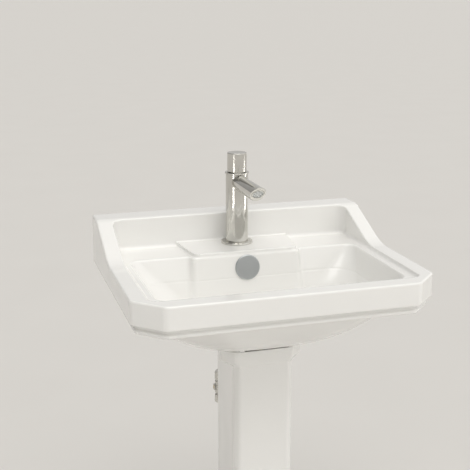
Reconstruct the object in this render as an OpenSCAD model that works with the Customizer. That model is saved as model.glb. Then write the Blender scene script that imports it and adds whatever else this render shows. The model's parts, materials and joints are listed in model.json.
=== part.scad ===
// Pedestal sink: chamfered ceramic basin on a hollow column, with tap, waste and trap.
// Origin on the floor, under the middle of the basin. +X right, +Y to the wall, +Z up.

/* [Basin] */
// Width of the basin
basin_w = 560; // [540:5:620]
// Depth of the basin, from the wall to its front
basin_d = 450; // [440:5:480]
// Height of the rim above the floor
rim_h = 850; // [820:5:900]
// Leg of the chamfer across each front corner
corner = 50; // [35:1:60]
// Height of the apron below the rim
apron_h = 44; // [38:1:52]
// Height of the upstand above the rim
upstand_h = 56; // [40:1:70]
// Depth of the upstand's flat top
upstand_t = 56; // [50:1:62]
// How far the sloping wings run forward of the upstand
wing_run = 129; // [100:1:150]
// Width of the rim along the sides
side_rim = 31; // [28:1:34]
// Width of the rim along the front
front_rim = 35; // [30:1:40]
// Depth of the bowl below the rim
bowl_depth = 140; // [125:1:144]
// Thickness of the ceramic
china = 11; // [9:0.5:12]

/* [Tap] */
// Diameter of the tap's body
tap_d = 45; // [42:0.5:46]
// Height of the tap above the rim
tap_h = 185; // [180:1:210]
// Reach of the spout, from the tap's axis to the middle of its end
spout_reach = 136; // [120:1:160]
// Diameter of the spout
spout_d = 31; // [30:0.5:32]
// Diameter of the knob
knob_d = 39; // [38:0.5:42]

/* [Pedestal] */
// Half width of the column near its front
column_half = 60; // [59:1:66]
// Half width of the column at its back
back_half = 43; // [42:1:60]
// Chamfer on each front corner of the column
column_corner = 10.5; // [8:0.5:14]
// Height of the plinth
plinth_h = 72; // [50:1:100]

/* [Hidden] */
$fn = 64;

wall_y = basin_d / 2;
front_y = -basin_d / 2;

// basin: layers below the apron, and the recess that holds the dishes and the bowl
cove_h = 8;
bead_h = 8;
trim_bottom = apron_h + cove_h + bead_h;
cove_inset = 11;
bead_inset = 7;
recess = 7.5;
recess_r = 18;
recess_x = basin_w / 2 - side_rim;
recess_front = front_y + front_rim;
bowl_x = recess_x - 15;
bowl_front = recess_front + 18;
bowl_back = wall_y - 143;
platform_half = 112;
platform_front = wall_y - 160;
deck_t = 19;
back_t = 14;
seat_z = rim_h - 165;
belly_z = rim_h - 160;
belly_x = basin_w / 2 - 20;
belly_y = 200;
belly_mid = wall_y - 222;
belly_square = 3;
belly_bulge = 2.7;
pier_half = 62;
pier_back = wall_y - 129;
bay_lean = 10.5;
bay_drop = 100;

// tap
tap_y = wall_y - 92;
tap_hole_r = 17.5;
spout_z = rim_h + 127;
body_top = rim_h + 143;
ring_top = body_top + 3;
knob_bottom = ring_top + 0.4;
knob_top = rim_h + tap_h;
spout_tilt = 40;
tail_r = 5;
tail_x = 8;
tail_y = tap_y - 4;
stud_y = tap_y + 12;
cartridge_r = 12.5;
spindle_r = 4;

// overflow cover on the bowl's back wall
overflow_z = rim_h - 33;
overflow_y = platform_front - bay_lean * (rim_h - overflow_z) / bay_drop;
overflow_tilt = atan(bay_lean / bay_drop);

// supply
isolator_x = 30;
isolator_y = wall_y - 75;
isolator_z = 530;
pipe_r = 7.5;

// waste and trap, on one vertical axis
waste_y = wall_y - 215;
waste_r = 20.5;
waste_top = rim_h - bowl_depth - 1;
waste_bottom = waste_top - 76;
trap_r = 32;
outlet_z = 572;
outlet_r = 16;
spigot_r = outlet_r - 0.2;
spigot_l = 18;

// pedestal
ped_front = wall_y - 275;
ped_back = wall_y - 95;
ped_wall = 12;
head_half = 81;
head_front = 57;
head_back = ped_front + 37;
band_h = 22;
corbel_h = 9;
plinth_out = 14;
lug_x = 27;

ceramic = [0.96, 0.96, 0.94];
chrome_c = [0.80, 0.81, 0.83];
brass_c = [0.78, 0.62, 0.32];
copper_c = [0.76, 0.46, 0.32];
rubber_c = [0.12, 0.12, 0.12];
plastic_c = [0.92, 0.92, 0.90];

// ---------- shapes used more than once ----------

// The basin's outline, moved inwards on its three free sides
module outline(inset) {
    w = basin_w / 2 - inset;
    f = front_y + inset;
    c = corner - inset * (2 - sqrt(2));
    polygon([[-w, wall_y], [-w, f + c], [-w + c, f], [w - c, f], [w, f + c], [w, wall_y]]);
}

module slab(inset, low, high) {
    translate([0, 0, rim_h + low]) linear_extrude(high - low) outline(inset);
}

module box(low, high) {
    translate(low) cube(high - low);
}

// A profile drawn in Y and Z, and extruded along X about the middle
module across(width) {
    rotate([90, 0, 90]) translate([0, 0, -width / 2]) linear_extrude(width) children();
}

module rounded_rect(x, y0, y1, r) {
    translate([0, y0]) union() {
        translate([-x + r, 0]) square([2 * (x - r), y1 - y0]);
        translate([-x, r]) square([2 * x, y1 - y0 - 2 * r]);
        for (sx = [-1, 1], cy = [r, y1 - y0 - r]) translate([sx * (x - r), cy]) circle(r);
    }
}

module ring(x, y, z0, z1, r_out, r_in) {
    translate([x, y, z0]) difference() {
        cylinder(h = z1 - z0, r = r_out);
        translate([0, 0, -1]) cylinder(h = z1 - z0 + 2, r = r_in);
    }
}

module post(x, y, z0, z1, r) {
    translate([x, y, z0]) cylinder(h = z1 - z0, r = r);
}

// A hexagon nut with a round hole
module hex_ring(x, y, z0, z1, flats, r_in) {
    translate([x, y, z0]) difference() {
        cylinder(h = z1 - z0, r = flats / 2 / cos(30), $fn = 6);
        translate([0, 0, -1]) cylinder(h = z1 - z0 + 2, r = r_in);
    }
}

// A round bar between two points
module bar(a, b, r) {
    d = b - a;
    length = norm(d);
    translate(a) rotate([0, acos(d[2] / length), atan2(d[1], d[0])]) cylinder(h = length, r = r);
}

// ---------- basin ----------

// The dome under the basin has oval rings that shrink towards its flat bottom
function oval(x, y, angle) = [
    x * sign(cos(angle)) * pow(abs(cos(angle)), 2 / belly_square),
    y * sign(sin(angle)) * pow(abs(sin(angle)), 2 / belly_square),
];

module belly_ring(share, inset) {
    points = [for (a = [0:7.5:359]) oval(belly_x * share - inset, belly_y * share - inset, a)];
    translate([0, belly_mid]) polygon(points);
}

module belly(inset) {
    depth = rim_h - trim_bottom - belly_z;
    steps = [0, 0.15, 0.3, 0.45, 0.6, 0.75, 0.87, 0.95, 0.99];
    hull() for (t = steps)
        translate([0, 0, rim_h - trim_bottom - t / 0.99 * depth + inset * t]) linear_extrude(0.1)
            belly_ring(pow(1 - t, 1 / belly_bulge), inset);
}

module upper_block() {
    top = rim_h + upstand_h;
    intersection() {
        slab(0, -apron_h, upstand_h);
        across(basin_w + 2) polygon([
            [wall_y, rim_h - apron_h - 1], [wall_y, top], [wall_y - upstand_t, top],
            [wall_y - upstand_t - wing_run, rim_h], [front_y, rim_h], [front_y, rim_h - apron_h - 1],
        ]);
    }
}

// Space above the dishes and in front of the upstand, between the two wings
module recess_space() {
    translate([0, 0, rim_h - recess]) linear_extrude(upstand_h + 20)
        rounded_rect(recess_x, recess_front, wall_y - upstand_t, recess_r);
}

module platform() {
    box([-platform_half, platform_front, rim_h - 30], [platform_half, wall_y - upstand_t + 1, rim_h]);
}

// Levels of the bowl: height, how far its sides, front and back have come in, and corner radius
bowl_levels = [
    [1, 0, 0, 0, 22],
    [-45, 14, 18, 14, 40],
    [-90, 40, 48, 24, 70],
    [20 - bowl_depth, 75, 80, 30, 66],
    [-bowl_depth, 120, 115, 36, 42],
];

// The bowl's own space, or with a margin the outside of its wall
module bowl_space(margin) {
    difference() {
        hull() for (level = bowl_levels) {
            drop = level[0] > 0 ? 1 : level[0] - margin;
            translate([0, 0, rim_h + drop]) linear_extrude(0.1)
                rounded_rect(bowl_x - level[1] + margin, bowl_front + level[2] - margin,
                             bowl_back - level[3] + margin, level[4] + margin, $fn = 32);
        }
        bay(margin);
    }
}

// The tap platform stands forward of the dishes and runs down the bowl's back wall
module bay(margin) {
    front = platform_front + margin;
    across(2 * (platform_half - margin)) polygon([
        [wall_y, rim_h + 5], [front, rim_h + 5], [front, rim_h],
        [front - bay_lean, rim_h - bay_drop], [wall_y, rim_h - bay_drop],
    ]);
}

// Hollow inside the casting, open below behind the bowl
module casting_hollow() {
    behind_cove = cove_inset + 12;
    difference() {
        union() {
            intersection() {
                union() {
                    slab(12, 8 - apron_h, -deck_t);
                    slab(behind_cove, 10 - trim_bottom, 9 - apron_h);
                    translate([0, 0, rim_h - trim_bottom - 2]) linear_extrude(14) belly_ring(1, behind_cove);
                }
                box([-basin_w, front_y, 0], [basin_w, wall_y - back_t, 2 * rim_h]);
            }
            box([-basin_w / 2 + behind_cove, bowl_back + china, rim_h - trim_bottom - 1],
                [basin_w / 2 - behind_cove, wall_y - back_t, 9 - apron_h + rim_h]);
            belly(12);
            box([-basin_w / 2 + 12, wall_y - upstand_t + 12, rim_h - 40],
                [basin_w / 2 - 12, wall_y - back_t, rim_h + upstand_h - 12]);
        }
        bowl_space(china);
    }
}

module casting_solid() {
    upper_block();
    slab(cove_inset, -apron_h - cove_h - 0.5, -apron_h + 1);
    slab(bead_inset, -trim_bottom, -apron_h - cove_h);
    intersection() {
        belly(0);
        box([-basin_w, front_y, belly_z - 1], [basin_w, bowl_back + china, rim_h]);
    }
}

// Half width of the column at a place between its front corner and its back
function column_side(y) = column_half - (column_half - back_half)
    * (y - ped_front - column_corner) / (ped_back - ped_front - column_corner);

// Solid foot behind the dome: it carries the overflow passage and two rails that rest on the column
module pier() {
    rail_front = ped_front + 22;
    box([-pier_half, wall_y - 230, belly_z], [pier_half, pier_back, rim_h - 60]);
    box([-24, wall_y - 151, rim_h - 61], [24, pier_back, rim_h - deck_t + 1]);
    for (side = [-1, 1]) translate([0, 0, seat_z]) linear_extrude(belly_z + 14 - seat_z) polygon([
        [side * (column_side(rail_front) - 13), rail_front], [side * column_side(rail_front), rail_front],
        [side * column_side(pier_back), pier_back], [side * (column_side(pier_back) - 13), pier_back],
    ]);
    post(0, waste_y, seat_z, belly_z + 1, 38);
}

// Passage from the overflow cover down to the side of the waste hole
module overflow_passage() {
    low = rim_h - bowl_depth - 16;
    box([-16, wall_y - 149, low], [16, wall_y - 137, overflow_z + 12]);
    box([-12, waste_y + 15, low], [12, wall_y - 140, low + 7]);
}

module wall_holes() {
    for (side = [-1, 1]) translate([side * 140, wall_y + 1, rim_h - 35]) rotate([90, 0, 0])
        cylinder(h = back_t + 2, r = 7);
}

module basin() {
    color(ceramic) difference() {
        union() {
            difference() {
                casting_solid();
                casting_hollow();
            }
            difference() {
                platform();
                post(0, tap_y, rim_h - deck_t - 20, rim_h - deck_t, 60);
                box([-platform_half - 1, platform_front + china, rim_h - 31],
                    [platform_half + 1, wall_y - back_t, rim_h - deck_t]);
            }
            pier();
        }
        difference() {
            recess_space();
            platform();
        }
        bowl_space(0);
        post(0, tap_y, rim_h - 60, rim_h + 5, tap_hole_r);
        post(0, waste_y, seat_z - 1, rim_h - bowl_depth + 1, 22.5);
        post(0, waste_y, rim_h - bowl_depth - 6, rim_h - bowl_depth + 6, 33);
        on_bay() translate([0, 0, -14]) cylinder(h = 24, r = 12.5);
        overflow_passage();
        wall_holes();
    }
}

// Frame at the middle of the overflow hole, its Z axis pointing out of the leaning wall
module on_bay() {
    translate([0, overflow_y, overflow_z]) rotate([90 - overflow_tilt, 0, 0]) children();
}

module overflow_cover() {
    color(chrome_c) on_bay() {
        translate([0, 0, 0.1]) rotate_extrude()
            polygon([[0, 0], [25, 0], [25, 2.2], [23.8, 3.2], [0, 3.6]]);
        translate([0, 0, -9]) difference() {
            cylinder(h = 9.6, r = 12.2);
            translate([0, 0, -1]) cylinder(h = 9, r = 9.5);
            for (a = [0, 60, 120]) rotate([0, 0, a]) translate([-15, -2.5, -1]) cube([30, 5, 7]);
        }
    }
}

// ---------- tap ----------

module tap_body() {
    color(chrome_c) difference() {
        union() {
            post(0, tap_y, rim_h - 9, rim_h + 8, 17);
            translate([0, tap_y, rim_h + 5]) cylinder(h = body_top - rim_h - 5, r = tap_d / 2);
            post(0, tap_y, body_top - 1, ring_top + 3, 16.5);
        }
        post(0, tap_y, body_top - 7, ring_top + 4, cartridge_r + 0.1);
        for (side = [-1, 1]) post(side * tail_x, tail_y, rim_h - 10, rim_h + 20, tail_r);
        // two waterways lead from the tails round behind the spout, up to the cartridge
        for (side = [-1, 1]) {
            post(side * 6, tap_y + 6.5, rim_h + 15, body_top - 6, 2.8);
            translate([side * 6.4, tail_y, rim_h + 17]) rotate([-90, 0, 0]) cylinder(h = 10.5, r = 2.2);
        }
        post(0, stud_y, rim_h - 10, rim_h + 22, spindle_r);
        translate([0, tap_y, spout_z]) rotate([90, 0, 0]) cylinder(h = tap_d, r = 9);
        post(0, tap_y - 5, spout_z, body_top - 6, 4);
    }
}

module tap_base_ring() {
    color(chrome_c) translate([0, tap_y, rim_h]) difference() {
        rotate_extrude() polygon([[17.2, 0], [32, 0], [32, 3.4], [31, 4.6], [29.6, 5], [17.2, 5]]);
        difference() {
            translate([0, 0, -1]) cylinder(h = 2.5, r = 29);
            translate([0, 0, -2]) cylinder(h = 5, r = 26);
        }
    }
}

module tap_base_seal() {
    color(rubber_c) ring(0, tap_y, rim_h, rim_h + 1.4, 28.9, 26.1);
}

module trim_ring() {
    color(chrome_c) translate([0, tap_y, body_top]) rotate_extrude()
        polygon([[16.7, 0], [24, 0], [24, 2.2], [23.2, 3], [16.7, 3]]);
}

// Frame at the middle of the spout's slanted end, its Z axis pointing out of it
module at_spout_end() {
    translate([0, tap_y - spout_reach, spout_z]) rotate([90 + spout_tilt, 0, 0]) children();
}

module spout() {
    color(chrome_c) difference() {
        translate([0, tap_y, spout_z]) rotate([90, 0, 0]) cylinder(h = spout_reach + 20, r = spout_d / 2);
        difference() {
            post(0, tap_y, spout_z - 30, spout_z + 30, tap_d / 2);
            translate([0, tap_y, spout_z]) rotate([90, 0, 0]) cylinder(h = 60, r = 8.9);
        }
        post(0, tap_y, spout_z - 30, spout_z + 30, 14);
        translate([0, tap_y + 1, spout_z]) rotate([90, 0, 0]) cylinder(h = spout_reach, r = 7);
        at_spout_end() {
            translate([-30, -40, 0]) cube([60, 80, 40]);
            translate([0, 0, -9]) cylinder(h = 10, r = 12.5);
        }
    }
}

module aerator_housing() {
    color(chrome_c) at_spout_end() difference() {
        translate([0, 0, -9]) cylinder(h = 9.6, r = 12.4);
        translate([0, 0, -10]) cylinder(h = 12, r = 10.5);
    }
}

module aerator_insert() {
    color(plastic_c) at_spout_end() difference() {
        union() {
            translate([0, 0, -7.4]) cylinder(h = 7, r = 9.2);
            translate([0, 0, -7.4]) cylinder(h = 2, r = 10.4);
        }
        for (a = [0:60:300]) rotate([0, 0, a]) translate([6, 0, -8]) cylinder(h = 9, r = 1.6);
        translate([0, 0, -8]) cylinder(h = 9, r = 2.4);
    }
}

module aerator_seal() {
    color(rubber_c) at_spout_end() translate([0, 0, -8.9]) difference() {
        cylinder(h = 1.4, r = 10.3);
        translate([0, 0, -1]) cylinder(h = 4, r = 7.5);
    }
}

module cartridge() {
    color(plastic_c) difference() {
        post(0, tap_y, body_top - 7, body_top + 20, cartridge_r);
        post(0, tap_y, body_top + 4, body_top + 21, spindle_r + 0.05);
    }
}

module cartridge_nut() {
    color(brass_c) hex_ring(0, tap_y, ring_top + 3.2, ring_top + 9, 28, cartridge_r + 0.1);
}

module cartridge_spindle() {
    color(brass_c) post(0, tap_y, body_top + 4.5, body_top + 36, spindle_r);
}

module knob() {
    color(chrome_c) difference() {
        translate([0, tap_y, knob_bottom]) rotate_extrude() polygon([
            [0, 0], [knob_d / 2, 0], [knob_d / 2, knob_top - knob_bottom - 1.2],
            [knob_d / 2 - 0.4, knob_top - knob_bottom - 0.4], [knob_d / 2 - 1.2, knob_top - knob_bottom],
            [0, knob_top - knob_bottom],
        ]);
        post(0, tap_y, knob_bottom - 1, body_top + 22, 17.2);
        post(0, tap_y, body_top + 10, body_top + 36, spindle_r);
        translate([0, tap_y + 2, body_top + 28]) rotate([-90, 0, 0]) cylinder(h = 30, r = 2.5);
    }
}

module knob_grub_screw() {
    color(chrome_c) translate([0, tap_y, body_top + 28]) rotate([-90, 0, 0]) difference() {
        translate([0, 0, spindle_r + 0.2]) cylinder(h = 12, r = 2.4);
        translate([0, 0, 13.5]) cylinder(h = 4, r = 1.3, $fn = 6);
    }
}

module fixing_stud() {
    color(brass_c) post(0, stud_y, rim_h - 48, rim_h + 21, spindle_r);
}

// Plate under the deck with a hole for the stud and a slot for the two tails
module horseshoe(z0, z1, r) {
    difference() {
        post(0, tap_y, z0, z1, r);
        post(0, stud_y, z0 - 1, z1 + 1, spindle_r + 0.2);
        post(0, tap_y - 7, z0 - 1, z1 + 1, 13.8);
        box([-13.8, tap_y - 40, z0 - 1], [13.8, tap_y - 7, z1 + 1]);
    }
}

module fixing_gasket() {
    color(rubber_c) horseshoe(rim_h - deck_t - 3, rim_h - deck_t, 26);
}

module fixing_washer() {
    color(chrome_c) horseshoe(rim_h - deck_t - 5, rim_h - deck_t - 3, 25);
}

module fixing_nut() {
    color(brass_c) hex_ring(0, stud_y, rim_h - deck_t - 15, rim_h - deck_t - 5, 13, spindle_r + 0.1);
}

// ---------- supply ----------

// A tail runs down from the tap, leans outwards, and ends in its isolating valve
module tail(side) {
    bend_top = [side * tail_x, tail_y, rim_h - 75];
    bend_low = [side * isolator_x, isolator_y, rim_h - 165];
    color(copper_c) {
        post(side * tail_x, tail_y, bend_top[2], rim_h + 14, tail_r);
        translate(bend_top) sphere(tail_r + 0.4);
        bar(bend_top, bend_low, tail_r);
        translate(bend_low) sphere(tail_r + 0.4);
        post(side * isolator_x, isolator_y, isolator_z + 16, bend_low[2], tail_r);
    }
}

module hot_tail() { tail(-1); }
module cold_tail() { tail(1); }

module isolator(side) {
    color(chrome_c) translate([side * isolator_x, isolator_y, isolator_z]) difference() {
        union() {
            post(0, 0, -27, 27, 10.5);
            post(0, 0, -14, 14, 13);
            rotate([0, side * 90, 0]) cylinder(h = 16, r = 7);
        }
        post(0, 0, 14, 31, tail_r + 0.05);
        post(0, 0, -31, -16, pipe_r + 0.1);
        post(0, 0, -20, 20, 3.5);
        sphere(7.6);
        rotate([0, side * 90, 0]) cylinder(h = 17, r = 4.05);
    }
}

module hot_isolator() { isolator(-1); }
module cold_isolator() { isolator(1); }

module isolator_ball(side) {
    color(brass_c) translate([side * isolator_x, isolator_y, isolator_z]) difference() {
        union() {
            sphere(7.5);
            rotate([0, side * 90, 0]) cylinder(h = 15.6, r = 4);
        }
        translate([0, 0, -10]) cylinder(h = 20, r = 3);
        translate([side * 15, 0, 0]) cube([3, 1.2, 9], center = true);
    }
}

module hot_isolator_ball() { isolator_ball(-1); }
module cold_isolator_ball() { isolator_ball(1); }

// Nut with a wide bore over part of its height, where it screws on the valve
module compression_nut(x, z0, wide_from, wide_to, hole_r) {
    difference() {
        hex_ring(x, isolator_y, z0, z0 + 18, 24, hole_r);
        post(x, isolator_y, z0 + wide_from, z0 + wide_to, 10.6);
    }
}

module compression_nuts() {
    color(chrome_c) for (x = [-isolator_x, isolator_x]) {
        compression_nut(x, isolator_z + 17, -1, 14.5, tail_r + 0.2);
        compression_nut(x, isolator_z - 35, 3.5, 19, pipe_r + 0.3);
    }
}

module compression_olives() {
    color(brass_c) for (x = [-isolator_x, isolator_x]) {
        ring(x, isolator_y, isolator_z + 27.1, isolator_z + 31.3, 8.5, tail_r + 0.02);
        ring(x, isolator_y, isolator_z - 31.3, isolator_z - 27.1, 10.4, pipe_r + 0.1);
    }
}

// ---------- waste ----------

module waste_body() {
    color(chrome_c) translate([0, waste_y, 0]) difference() {
        union() {
            translate([0, 0, waste_top - 3]) cylinder(h = 3, r = 32);
            translate([0, 0, waste_bottom]) cylinder(h = waste_top - waste_bottom - 1, r = waste_r);
        }
        translate([0, 0, waste_bottom - 1]) cylinder(h = waste_top - waste_bottom + 2, r = 18);
        for (a = [0:90:270]) rotate([0, 0, a + 45]) translate([10, -6, waste_top - 18]) cube([20, 12, 9]);
    }
}

module waste_upper_seal() {
    color(rubber_c) ring(0, waste_y, waste_top - 5, waste_top - 3, 31.5, waste_r + 0.2);
}

module waste_lower_seal() {
    color(rubber_c) ring(0, waste_y, seat_z - 5, seat_z, 31, waste_r + 0.1);
}

module waste_back_nut() {
    color(brass_c) hex_ring(0, waste_y, seat_z - 13, seat_z - 5, 58, waste_r + 0.1);
}

module plug_guide() {
    color(plastic_c) translate([0, waste_y, waste_top - 44]) difference() {
        union() {
            difference() {
                cylinder(h = 12, r = 17.9);
                translate([0, 0, -1]) cylinder(h = 14, r = 15.9);
            }
            cylinder(h = 12, r = 7);
            for (a = [0:60:120]) rotate([0, 0, a]) translate([-17, -1.5, 0]) cube([34, 3, 8]);
        }
        translate([0, 0, -1]) cylinder(h = 14, r = 4.05);
    }
}

module plug_stem() {
    color(brass_c) post(0, waste_y, waste_top - 50, waste_top + 0.5, 4);
}

module plug_cap() {
    color(chrome_c) translate([0, waste_y, waste_top + 0.5]) difference() {
        rotate_extrude() polygon([[0, 0], [31, 0], [32, 1.2], [31.4, 2.6], [24, 4.6], [12, 5.8], [0, 6.2]]);
        difference() {
            translate([0, 0, -1]) cylinder(h = 2.2, r = 28);
            translate([0, 0, -2]) cylinder(h = 4, r = 25);
        }
    }
}

module plug_seal() {
    color(rubber_c) ring(0, waste_y, waste_top + 0.35, waste_top + 1.65, 27.9, 25.1);
}

// ---------- trap ----------

module trap_inlet_nut() {
    color(plastic_c) translate([0, waste_y, waste_bottom]) difference() {
        union() {
            translate([0, 0, -12]) cylinder(h = 28, r = 26);
            for (a = [0:30:330]) rotate([0, 0, a]) translate([25, -2, -12]) cube([3, 4, 28]);
        }
        translate([0, 0, -6.4]) cylinder(h = 30, r = waste_r + 0.1);
        translate([0, 0, -13]) cylinder(h = 30, r = outlet_r + 0.2);
    }
}

module trap_inlet_washer() {
    color(rubber_c) ring(0, waste_y, waste_bottom - 3, waste_bottom, 20.3, 14.5);
}

module trap_body() {
    top = outlet_z + 20;
    color(plastic_c) difference() {
        union() {
            post(0, waste_y, top - 4, waste_bottom - 3, outlet_r);
            post(0, waste_y, waste_bottom - 6.2, waste_bottom - 3, 20.2);
            post(0, waste_y, outlet_z - 34, top, trap_r);
            translate([0, waste_y, outlet_z]) rotate([-90, 0, 0]) cylinder(h = 62, r = outlet_r);
            translate([0, waste_y + 52, outlet_z]) rotate([-90, 0, 0]) cylinder(h = 10, r = outlet_r + 4);
        }
        post(0, waste_y, top - 5, waste_bottom, 13.5);
        difference() {
            post(0, waste_y, outlet_z - 35, top - 3, trap_r - 3);
            post(0, waste_y, outlet_z - 10, top, outlet_r);
        }
        post(0, waste_y, outlet_z - 11, top, 13.5);
        difference() {
            translate([0, waste_y + 22, outlet_z]) rotate([-90, 0, 0]) cylinder(h = 50, r = 13.5);
            post(0, waste_y, outlet_z - 20, outlet_z + 20, outlet_r);
        }
    }
}

module trap_dip_tube() {
    color(plastic_c) ring(0, waste_y, outlet_z - 78, outlet_z - 4, 13.4, 11.4);
}

module trap_cup() {
    cup_top = outlet_z - 22;
    color(plastic_c) translate([0, waste_y, 0]) difference() {
        union() {
            translate([0, 0, cup_top - 76]) rotate_extrude() polygon([
                [0, 0], [24, 0], [31, 5], [34, 14], [34, 56], [37, 58], [37, 76], [0, 76],
            ]);
            for (a = [0:20:340]) rotate([0, 0, a]) translate([36, -1.5, cup_top - 18]) cube([2.5, 3, 18]);
        }
        translate([0, 0, cup_top - 72]) rotate_extrude() polygon([
            [0, 0], [22, 0], [29, 6], [30.5, 12], [30.5, 57], [0, 57],
        ]);
        translate([0, 0, cup_top - 15.2]) cylinder(h = 20, r = trap_r + 0.15);
    }
}

module trap_cup_seal() {
    color(rubber_c) ring(0, waste_y, outlet_z - 37, outlet_z - 34.05, trap_r, trap_r - 2.9);
}

// Pieces on the outlet's axis are drawn upright and laid towards the wall
module on_outlet(start) {
    translate([0, waste_y + start, outlet_z]) rotate([-90, 0, 0]) children();
}

module trap_outlet_nut() {
    color(plastic_c) on_outlet(54) difference() {
        union() {
            cylinder(h = 22, r = 25);
            for (a = [0:30:330]) rotate([0, 0, a]) translate([24, -2, 0]) cube([3, 4, 22]);
        }
        translate([0, 0, -1]) cylinder(h = 17, r = outlet_r + 4.1);
        translate([0, 0, -1]) cylinder(h = 30, r = outlet_r + 0.2);
    }
}

module trap_outlet_washer() {
    color(rubber_c) on_outlet(62.1) difference() {
        cylinder(h = 3.8, r = outlet_r + 3.9);
        translate([0, 0, -1]) cylinder(h = 6, r = spigot_r + 0.05);
    }
}

// The end that goes into the trap's nut is a little thinner than the rest
module outlet_pipe() {
    color(plastic_c) on_outlet(62.2) difference() {
        union() {
            cylinder(h = spigot_l, r = spigot_r);
            translate([0, 0, spigot_l]) cylinder(h = wall_y - waste_y - 62.2 - spigot_l, r = outlet_r);
        }
        translate([0, 0, -1]) cylinder(h = 200, r = outlet_r - 2);
    }
}

// ---------- pedestal ----------

// Plan of the column, moved outwards by grow: chamfered front corners, sides that close in to the back
module column_plan(grow, back = ped_back) {
    side = column_half + grow;
    front = ped_front - grow;
    corner = column_corner + grow * (2 - sqrt(2));
    rear = back_half + grow;
    polygon([
        [-side + corner, front], [side - corner, front], [side, front + corner],
        [rear, back], [-rear, back], [-side, front + corner],
    ]);
}

// Plan of the head: the column's front with an ear on each side
module head_plan() {
    shoulder = ped_front + head_half - head_front;
    polygon([
        [-head_front, ped_front], [head_front, ped_front], [head_half, shoulder],
        [head_half, head_back], [-head_half, head_back], [-head_half, shoulder],
    ]);
}

// Sloping faces between a lower plan and an upper plan
module flare(low, high) {
    hull() {
        translate([0, 0, low]) linear_extrude(0.1) children(0);
        translate([0, 0, high - 0.1]) linear_extrude(0.1) children(1);
    }
}

module column_solid() {
    band_low = seat_z - band_h;
    linear_extrude(seat_z) column_plan(0);
    translate([0, 0, band_low]) linear_extrude(band_h) head_plan();
    flare(band_low - corbel_h, band_low + 0.1) {
        intersection() {
            column_plan(0);
            translate([-head_half, ped_front - 1]) square([2 * head_half, head_back - ped_front + 1]);
        }
        head_plan();
    }
    linear_extrude(plinth_h) column_plan(plinth_out);
    flare(plinth_h - 0.1, plinth_h + plinth_out) {
        column_plan(plinth_out);
        column_plan(0);
    }
}

module column_hollow() {
    opening = back_half - ped_wall - 6;
    translate([0, 0, -1]) linear_extrude(rim_h) column_plan(-ped_wall, ped_back - ped_wall);
    box([-opening, ped_back - ped_wall - 1, -1], [opening, ped_back + 1, rim_h]);
}

module foot_lugs() {
    for (side = [-1, 1]) box([side * lug_x - 9, ped_back - 40, 0], [side * lug_x + 9, ped_back - 4, 12]);
}

module pedestal() {
    color(ceramic) difference() {
        union() {
            difference() {
                column_solid();
                column_hollow();
            }
            foot_lugs();
        }
        for (side = [-1, 1]) post(side * lug_x, ped_back - 24, -1, 20, 4);
    }
}

basin();
pedestal();
overflow_cover();
tap_body();
tap_base_ring();
tap_base_seal();
trim_ring();
spout();
aerator_housing();
aerator_insert();
aerator_seal();
cartridge();
cartridge_nut();
cartridge_spindle();
knob();
knob_grub_screw();
fixing_stud();
fixing_gasket();
fixing_washer();
fixing_nut();
hot_tail();
cold_tail();
hot_isolator();
cold_isolator();
hot_isolator_ball();
cold_isolator_ball();
compression_nuts();
compression_olives();
waste_body();
waste_upper_seal();
waste_lower_seal();
waste_back_nut();
plug_guide();
plug_stem();
plug_cap();
plug_seal();
trap_inlet_nut();
trap_inlet_washer();
trap_body();
trap_dip_tube();
trap_cup();
trap_cup_seal();
trap_outlet_nut();
trap_outlet_washer();
outlet_pipe();
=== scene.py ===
"""Looks of a pedestal sink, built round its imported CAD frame.

Shapes are worked out in millimetres in the part's own frame, and become metres when a mesh is made.
The two ceramic castings are distance fields, which give every edge and corner its own radius.
"""
import json
import math

import bpy
import numpy as np
from mathutils import Matrix, Vector


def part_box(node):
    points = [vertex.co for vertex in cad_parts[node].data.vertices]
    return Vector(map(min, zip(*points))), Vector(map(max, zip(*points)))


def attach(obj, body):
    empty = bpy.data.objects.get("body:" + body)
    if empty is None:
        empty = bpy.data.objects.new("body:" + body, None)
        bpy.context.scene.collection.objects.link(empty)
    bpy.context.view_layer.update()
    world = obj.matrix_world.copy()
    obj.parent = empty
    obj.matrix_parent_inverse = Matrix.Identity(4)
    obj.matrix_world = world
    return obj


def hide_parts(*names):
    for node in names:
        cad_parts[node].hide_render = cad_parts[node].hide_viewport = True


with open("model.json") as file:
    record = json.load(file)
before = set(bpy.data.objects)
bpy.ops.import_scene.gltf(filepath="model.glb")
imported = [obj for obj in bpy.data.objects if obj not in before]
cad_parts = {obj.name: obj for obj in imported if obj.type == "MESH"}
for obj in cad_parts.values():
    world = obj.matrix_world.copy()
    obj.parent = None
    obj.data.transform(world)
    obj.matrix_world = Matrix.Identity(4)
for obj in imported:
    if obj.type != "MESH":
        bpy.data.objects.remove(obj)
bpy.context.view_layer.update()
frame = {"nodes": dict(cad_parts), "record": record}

MM = 0.001
NODE_BODY = {node: body for body, nodes in frame["record"]["behaviour"]["bodies"].items() for node in nodes}
NODE_SLOT = {part["node"]: part["material_slot"] for part in frame["record"]["subparts"]}


def box_mm(node):
    """Lowest and highest corner of a CAD node in millimetres."""
    low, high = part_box(node)
    return np.array(low) / MM, np.array(high) / MM


BASIN_LOW, BASIN_HIGH = box_mm("basin")
PED_LOW, PED_HIGH = box_mm("pedestal")

# ---------- main sizes ----------

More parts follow.
